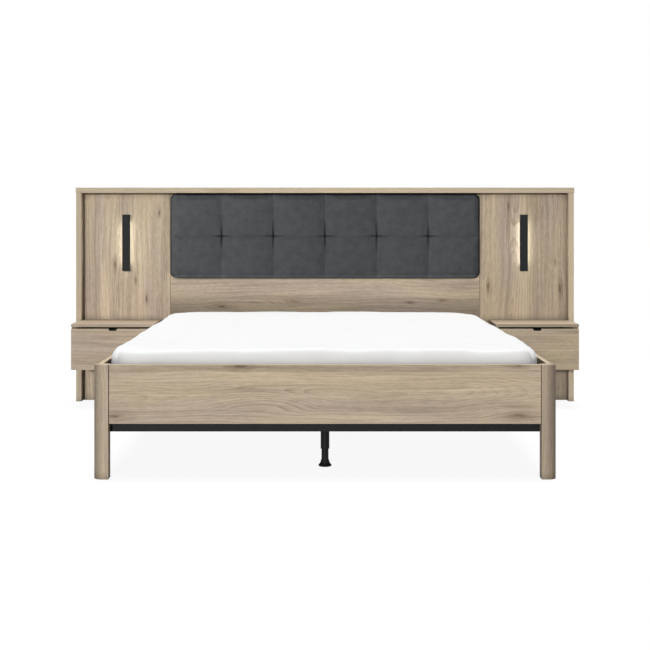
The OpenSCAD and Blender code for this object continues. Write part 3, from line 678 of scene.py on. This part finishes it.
def spread(size, edge, step, seams=(), ledge=0):
    """Places across a padded form: close along a round edge, which may stand behind a flat
    ledge, and on both sides of its seams."""
    turn = [0] + [ledge + inward for inward in quarter_turn(edge)]
    stops = {turn[-1], size - turn[-1]}
    for seam in seams:
        stops |= {seam + side * gap * MM for side in (-1, 1) for gap in SEAM_STEPS}
    stops = sorted(stops)
    places = set(turn) | {size - t for t in turn}
    for a, b in zip(stops, stops[1:]):
        n = max(1, round((b - a) / step))
        places |= {a + (b - a) * i / n for i in range(n + 1)}
    places = sorted(places)
    kept = [b for a, b in zip([-1] + places, places) if b - a > SAME_PLACE]
    return np.array(kept) - size / 2


def corner_fit(a, b, half_a, half_b, corner):
    """Moves the points of a rectangular grid's corner cells onto a rounded corner."""
    over_a = np.maximum(0, np.abs(a) - half_a + corner)
    over_b = np.maximum(0, np.abs(b) - half_b + corner)
    both = (over_a > 0) & (over_b > 0)
    longer, diagonal = np.maximum(over_a, over_b), np.hypot(over_a, over_b)
    k = np.where(both, longer / np.maximum(diagonal, TINY), 1)
    return (
        np.sign(a) * (np.abs(a) - over_a + k * over_a),
        np.sign(b) * (np.abs(b) - over_b + k * over_b),
    )


def rim_of(columns, rows):
    """Grid indices of the outer ring, in order round the form."""
    index = np.arange(columns * rows).reshape(rows, columns)
    sides = index[0, :-1], index[:-1, -1], index[-1, :0:-1], index[:0:-1, 0]
    return np.concatenate(sides).tolist()


def grid_faces(columns, rows):
    """Faces of a grid whose points are counted along its rows."""
    return [
        (first, first + 1, first + columns + 1, first + columns)
        for row in range(rows - 1)
        for first in range(row * columns, (row + 1) * columns - 1)
    ]


def skin(grid, columns, rows, rings):
    """Points and faces of a grid whose outer ring goes on over further rings, and the last
    ring's indices."""
    faces, before, base = grid_faces(columns, rows), rim_of(columns, rows), len(grid)
    n = len(before)
    for _ in rings:
        after = list(range(base, base + n))
        faces += [(before[k], after[k], after[(k + 1) % n], before[(k + 1) % n]) for k in range(n)]
        before, base = after, base + n
    return np.concatenate([grid, *rings]), faces, before


def mesh_of(name, points, faces):
    """A new object of these points and faces."""
    data = bpy.data.meshes.new(name)
    data.from_pydata([tuple(p) for p in points], [], faces)
    data.validate()
    return linked(name, data)


def face_outward(mesh):
    """Splits the many-sided faces into triangles and turns every face outward."""
    bmesh.ops.triangulate(mesh, faces=[f for f in mesh.faces if len(f.verts) > 4])
    bmesh.ops.recalc_face_normals(mesh, faces=mesh.faces)


def coordinates(obj):
    """The points of an object's mesh, one to a row."""
    flat = np.zeros(len(obj.data.vertices) * 3)
    obj.data.vertices.foreach_get("co", flat)
    return flat.reshape(-1, 3)


# ---------------------------------------------------------------- Headboard cushion

low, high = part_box("headboard_cushion")
cushion_w, cushion_h = high.x - low.x, high.z - low.z
cushion_z, pad_back, pad_face = (low.z + high.z) / 2, high.y, low.y
# Its outline's corners, its round front edge, the flat ledge before it, and the rim that is
# turned in: how thick, and how far in behind the edge
CORNER, ROUND, LEDGE, RIM, TUCK = 35 * MM, 16 * MM, 5.5 * MM, 12 * MM, 4 * MM
# How far the body starts behind the solid's face, how far its fields may fill out, and how
# far past that face
PUFF, FILL, PAST = 5 * MM, 9 * MM, 2 * MM
BODY = pad_back - pad_face - PUFF - RIM
# Depths: the sewn seams, the tufts, and the upright and lying folds that run out of them
SEWN, TUFT, UPRIGHT, LYING = 3.0 * MM, 7 * MM, 16 * MM, 14 * MM
pitch = cushion_w / COLUMNS
seam_at = [k * pitch for k in range(1, COLUMNS)]


def beside_seam(x):
    """The distance from the nearest upright seam."""
    return np.min([np.abs(x + cushion_w / 2 - s) for s in seam_at], axis=0)


def fold_depth(x, z):
    """Four sharp folds that run out of each tuft along the seams."""
    seam, level = beside_seam(x), np.abs(z)
    upright = hill(seam, 3.2 * MM) * hill(level, 60 * MM)
    lying = hill(level, 3.0 * MM) * hill(seam, 40 * MM)
    return np.maximum(UPRIGHT * upright, LYING * lying)


def pad_depth(x, z):
    """Depth of the pad before it fills out: a rounded body, sewn seams and deep tufts. The
    lying seam is drawn in most over its last 120 mm on both sides."""
    over_x = np.maximum(0, np.abs(x) - cushion_w / 2 + CORNER)
    over_z = np.maximum(0, np.abs(z) - cushion_h / 2 + CORNER)
    body = RIM + BODY * rounded((CORNER - np.maximum(over_x, over_z) - LEDGE) / ROUND)
    seam, level = beside_seam(x), np.abs(z)
    drawn = 0.8 + 1.6 * np.clip((np.abs(x) - cushion_w / 2 + 0.12) / 0.1, 0, 1)
    line = SEWN * (np.exp(-seam / (4 * MM)) + drawn * np.exp(-level / (4 * MM)))
    cone = TUFT * np.exp(-np.hypot(seam, level) / (16 * MM))
    share = np.clip((body - RIM) / BODY, 0, 1)
    return body - (line + cone + fold_depth(x, z)) * share


def turned_in(edge):
    """Two rings that carry the pad's edge back to its board and in behind itself."""
    rings = []
    for part in (0.5, 1.0):
        ring = edge.copy()
        ring[:, Y] = pad_back - RIM * (1 - part)
        for axis, middle, half in ((X, 0, cushion_w / 2), (Z, cushion_z, cushion_h / 2)):
            out = ring[:, axis] - middle
            ring[:, axis] -= np.sign(out) * TUCK * part**2 * (np.abs(out) > half - CORNER)
        rings.append(ring)
    return rings


def fill_out(pad, hold):
    """Fills the pad's fields out by a cloth simulation. hold says how firmly each point is
    held by seam, fold or board."""
    held = pad.vertex_groups.new(name="held")
    for i in np.flatnonzero(hold > 0.05):
        held.add([int(i)], float(hold[i]), "REPLACE")
    before = coordinates(pad)
    cloth = pad.modifiers.new("cloth", "CLOTH")
    cloth.collision_settings.use_collision = False
    # The fabric hardly stretches, folds softly and is cut 1.2 percent full
    fabric = cloth.settings
    fabric.quality = 4
    fabric.mass = 0.3
    fabric.tension_stiffness = fabric.compression_stiffness = 12
    fabric.shear_stiffness = 6
    fabric.bending_stiffness = 0.4
    fabric.vertex_group_mass = "held"
    fabric.use_pressure = True
    fabric.uniform_pressure_force = 4
    fabric.shrink_min = -0.012
    fabric.effector_weights.gravity = 0
    start, end = 1, 20
    cloth.point_cache.frame_start, cloth.point_cache.frame_end = start, end
    for moment in range(start, end + 1):
        bpy.context.scene.frame_set(moment)
    moved = coordinates(pad.evaluated_get(bpy.context.evaluated_depsgraph_get()))
    pad.modifiers.clear()
    bpy.context.scene.frame_set(start)
    shift = moved - before
    length = np.linalg.norm(shift, axis=1, keepdims=True)
    settled = before + shift * np.minimum(1, FILL / np.maximum(length, TINY))
    settled[:, Y] = np.maximum(settled[:, Y], pad_face - PAST)
    pad.data.vertices.foreach_set("co", settled.ravel())
    pad.data.update()


def headboard_cushion():
    """The tufted pad: sewn in six by two fields, pulled in at five tufts, and filled out."""
    step = 5.5 * MM
    xs = spread(cushion_w, ROUND, step, seam_at, LEDGE)
    zs = spread(cushion_h, ROUND, step, [cushion_h / 2], LEDGE)
    gx, gz = np.meshgrid(xs, zs)
    depth = pad_depth(gx, gz)
    fx, fz = corner_fit(gx, gz, cushion_w / 2, cushion_h / 2, CORNER)
    front = np.stack([fx, pad_back - depth, cushion_z + fz], axis=-1).reshape(-1, 3)
    rim = rim_of(len(xs), len(zs))
    points, faces, _ = skin(front, len(xs), len(zs), turned_in(front[rim]))
    pad = mesh_of("tufted_cushion", points, faces)

    folded = np.clip(fold_depth(gx, gz) / (3 * MM), 0, 1)
    sewn = np.minimum(beside_seam(gx), np.abs(gz)) < 0.5 * MM
    on_ledge = depth < RIM + 1 * MM
    hold = np.ones(len(points))
    hold[: len(front)] = np.max([folded, 0.85 * sewn, on_ledge], axis=0).ravel()
    hold[rim] = 1
    fill_out(pad, hold)

    # The flat back, closed against its board
    mesh = bmesh.new()
    mesh.from_mesh(pad.data)
    bmesh.ops.holes_fill(mesh, edges=[e for e in mesh.edges if e.is_boundary], sides=0)
    face_outward(mesh)
    mesh.to_mesh(pad.data)
    mesh.free()
    pad.data.shade_smooth()
    return pad


cushion = headboard_cushion()
dress(cushion, material("slate_velvet", velvet))
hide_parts("headboard_cushion")
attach(cushion, "bed")

# ---------------------------------------------------------------- Mattress and its sheet

low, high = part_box("mattress")
bed_w, bed_l, bed_bottom, bed_top = high.x - low.x, high.y - low.y, low.z, high.z
bed_y = (low.y + high.y) / 2
# Its round upper edges, the tighter one at the foot end and the lower one, then the corners
# of its outline, the crown of its top and the most that it sags
EDGE, FOOT_EDGE, LOWER_EDGE = 46 * MM, 12 * MM, 12 * MM
BED_CORNER, CROWN, MOST_SAG = 100 * MM, 8 * MM, 20 * MM
# Rings down its sides and in under it, and the angles of those round the lower edge
DOWN, UNDER = 11, 4
TURN_UNDER = (0.5, 1.05, math.pi / 2)


def ripple(x, y, z, scale, seed):
    """Soft noise between -1 and 1, with cells of this size in metres."""
    return noise.noise(Vector((x / scale + seed, y / scale, z / scale)))


def lying_height(gx, gy, width, length):
    """How far the mattress's top lies under its full height: crowned, round at its edges,
    and sunk where it is used."""
    end = np.where(gy < 0, (length / 2 + gy) / FOOT_EDGE, (length / 2 - gy) / EDGE)
    edge = np.minimum((width / 2 - np.abs(gx)) / EDGE, end)
    fall = EDGE * (1 - rounded(edge))
    crown = CROWN
    for place, size in ((gx, width), (gy, length)):
        crown = crown * (1 - np.clip(2 * np.abs(place) / size, 0, 1) ** 2.5)
    # Used most at the head end and its corners, and where one gets in on the right
    head = np.clip((gy - length / 2 + 0.35) / 0.35, 0, 1) ** 2
    right = np.clip((gx - width / 2 + 0.2) / 0.2, 0, 1) ** 2 * np.clip((gy + 0.45) / 0.4, 0, 1)
    corner = hill(np.hypot(width / 2 - np.abs(gx), length / 2 - gy), 0.16)
    sag = 5 * MM * head + 14 * MM * right + 9 * MM * corner
    # The sheet pulls the foot edge down in shallow waves
    wave = np.array([noise.noise(Vector((x / 0.15, 4.4, 0))) for x in gx[0]]) + 0.3
    sag += 11 * MM * np.maximum(0, wave) * hill(gy + length / 2, 0.07)
    return crown - CROWN - fall - np.minimum(sag, MOST_SAG)


def side_rings(edge, width, length, bottom, lip):
    """Rings down the sides, round the lower edge and in under the mattress by lip."""
    start, turn = float(edge[:, Z].min()), LOWER_EDGE
    drop = bottom + turn - start
    levels = [(0.0, start + drop * k / DOWN) for k in range(1, DOWN + 1)]
    for angle in TURN_UNDER:
        levels.append((turn * (1 - math.cos(angle)), bottom + turn * (1 - math.sin(angle))))
    if lip:
        levels += [(turn + lip * k / UNDER, bottom) for k in range(1, UNDER + 1)]
    half = np.array([width / 2 - BED_CORNER, length / 2 - BED_CORNER])
    middle = np.array([0, bed_y])
    core = np.clip(edge[:, :2] - middle, -half, half) + middle
    out = edge[:, :2] - core
    reach = np.linalg.norm(out, axis=1, keepdims=True)
    rings = []
    for inward, z in levels:
        flat = core + out * (1 - inward / np.maximum(reach, TINY))
        rings.append(np.column_stack([flat, np.full(len(edge), z)]))
    return rings


def wrinkle(mesh, width, length, top):
    """The sheet's slack, the creases that drag toward its corners and the folds that hang
    down its sides, in millimetres."""
    mesh.normal_update()
    # Creases start 0.3 m from a corner's two sides, and folds 20 mm under the top
    for point in mesh.verts:
        x, y, z = point.co
        over_x = max(0, abs(x) - width / 2 + 0.3)
        over_y = max(0, abs(y - bed_y) - length / 2 + 0.3)
        near = min(1, math.hypot(over_x, over_y) / 0.36) ** 2
        down = min(1, max(0, (top - 20 * MM - z) / (80 * MM)))
        slack = ripple(x, y, z, 0.31, 3.1) * 7 + ripple(x, y, z, 0.12, 8.4) * 2.4
        drag = ripple(x + y, (x - y) * 0.25, z * 0.6, 0.055, 1.7) * 2.4 * near
        hang = ripple(x + y, 0.2 * z, 0, 0.09, 5.5) * 1.6 * down
        point.co += point.normal * max(-3.0, slack + drag + hang) * MM


def mattress_form(name, inset, lip, step):
    """A crowned block with round edges, inset from the solid. With a lip it is the sheet,
    which is creased and open below, and without one the block closes there."""
    width, length = bed_w - 2 * inset, bed_l - 2 * inset
    top, bottom = bed_top - inset, bed_bottom + inset
    xs = spread(width, EDGE, step)
    foot = [inward - length / 2 for inward in quarter_turn(FOOT_EDGE)]
    ys = np.array(foot + [y for y in spread(length, EDGE, step) if y > foot[-1] + MM])
    gx, gy = np.meshgrid(xs, ys)
    fx, fy = corner_fit(gx, gy, width / 2, length / 2, BED_CORNER)
    height = top + lying_height(gx, gy, width, length)
    roof = np.stack([fx, bed_y + fy, height], axis=-1).reshape(-1, 3)
    edge = roof[rim_of(len(xs), len(ys))]
    rings = side_rings(edge, width, length, bottom, lip)
    points, faces, last = skin(roof, len(xs), len(ys), rings)
    if not lip:
        faces.append(tuple(last))
    block = mesh_of(name, points, faces)
    mesh = bmesh.new()
    mesh.from_mesh(block.data)
    face_outward(mesh)
    if lip:
        wrinkle(mesh, width, length, top)
    mesh.to_mesh(block.data)
    mesh.free()
    block.data.shade_smooth()
    return block


core = mattress_form("mattress_core", 7 * MM, 0, 40 * MM)
dress(core, material("knitted_ticking", ticking))
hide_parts("mattress")
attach(core, "bed")

sheet = mattress_form("fitted_sheet", 0.5 * MM, 60 * MM, 18 * MM)
dress(sheet, material("cotton_sateen", cotton_sateen))
thick = sheet.modifiers.new("cloth_thickness", "SOLIDIFY")
thick.thickness, thick.offset = 0.8 * MM, -1
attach(sheet, "bed")

# ---------------------------------------------------------------- Studio

FLOOR_HALF = 30.0
# How dark the floor's shadow shows to the eye, the white that lies over it, and the even
# light on the object from all round
SHADOW, WHITE, AMBIENT = 0.55, 0.92, 0.16

lines = np.linspace(-FLOOR_HALF, FLOOR_HALF, 7)
corners = [(x, y, 0) for y in lines for x in lines]
floor = mesh_of("floor", corners, grid_faces(len(lines), len(lines)))


def seen(tree):
    """1 for what the eye, a mirror or glass meets, and 0 for the light on the object."""
    path = add(tree, "LightPath").outputs
    straight, mirrored = path["Is Camera Ray"], path["Is Glossy Ray"]
    eye = add(tree, "Math", {0: straight, 1: mirrored}, operation="MAXIMUM")
    return add(tree, "Math", {0: eye, 1: path["Is Transmission Ray"]}, operation="MAXIMUM")


def studio_floor(tree):
    """Grey matt studio floor, seen as white with a faint shadow of the object."""
    eye = seen(tree)
    grain = speckle(tree, 400 * MM, 3)
    grey = add(tree, "Mix", {0: grain, 6: "#6C6C6B", 7: "#707070"}, data_type="RGBA")
    faint = add(tree, "HueSaturation", {"Value": SHADOW, "Color": grey})
    tone = add(tree, "Mix", {0: eye, 6: grey, 7: faint}, data_type="RGBA")
    lift = add(tree, "Math", {0: eye, 1: WHITE}, operation="MULTIPLY")
    return {
        0: add(tree, "BsdfDiffuse", {"Color": tone}),
        1: add(tree, "Emission", {"Color": "#FFFFFF", "Strength": lift}),
    }


dress(floor, material("studio_floor", studio_floor, "AddShader"))

world = bpy.data.worlds.new("studio")
bpy.context.scene.world = world
world.use_nodes = True
air = world.node_tree
air.nodes.clear()
level = add(air, "Math", {0: seen(air), 1: 1 - AMBIENT, 2: AMBIENT}, operation="MULTIPLY_ADD")
sky = add(air, "Background", {"Color": "#FFFFFF", "Strength": level})
add(air, "OutputWorld", {"Surface": sky})


def far_lamp(name, heading, width, level):
    """A far soft lamp: which way its light goes, its width in degrees, and the level that a
    white surface square to it takes."""
    lamp = bpy.data.lights.new(name, "SUN")
    lamp.energy, lamp.angle = level * math.pi, math.radians(width)
    made = linked(name, lamp)
    made.rotation_euler = Vector(heading).to_track_quat("-Z", "Y").to_euler()


far_lamp("key_from_the_front_left", (0.17, 1, -0.15), 6, 0.68)
far_lamp("soft_from_above", (0, -0.06, -1), 25, 0.88)
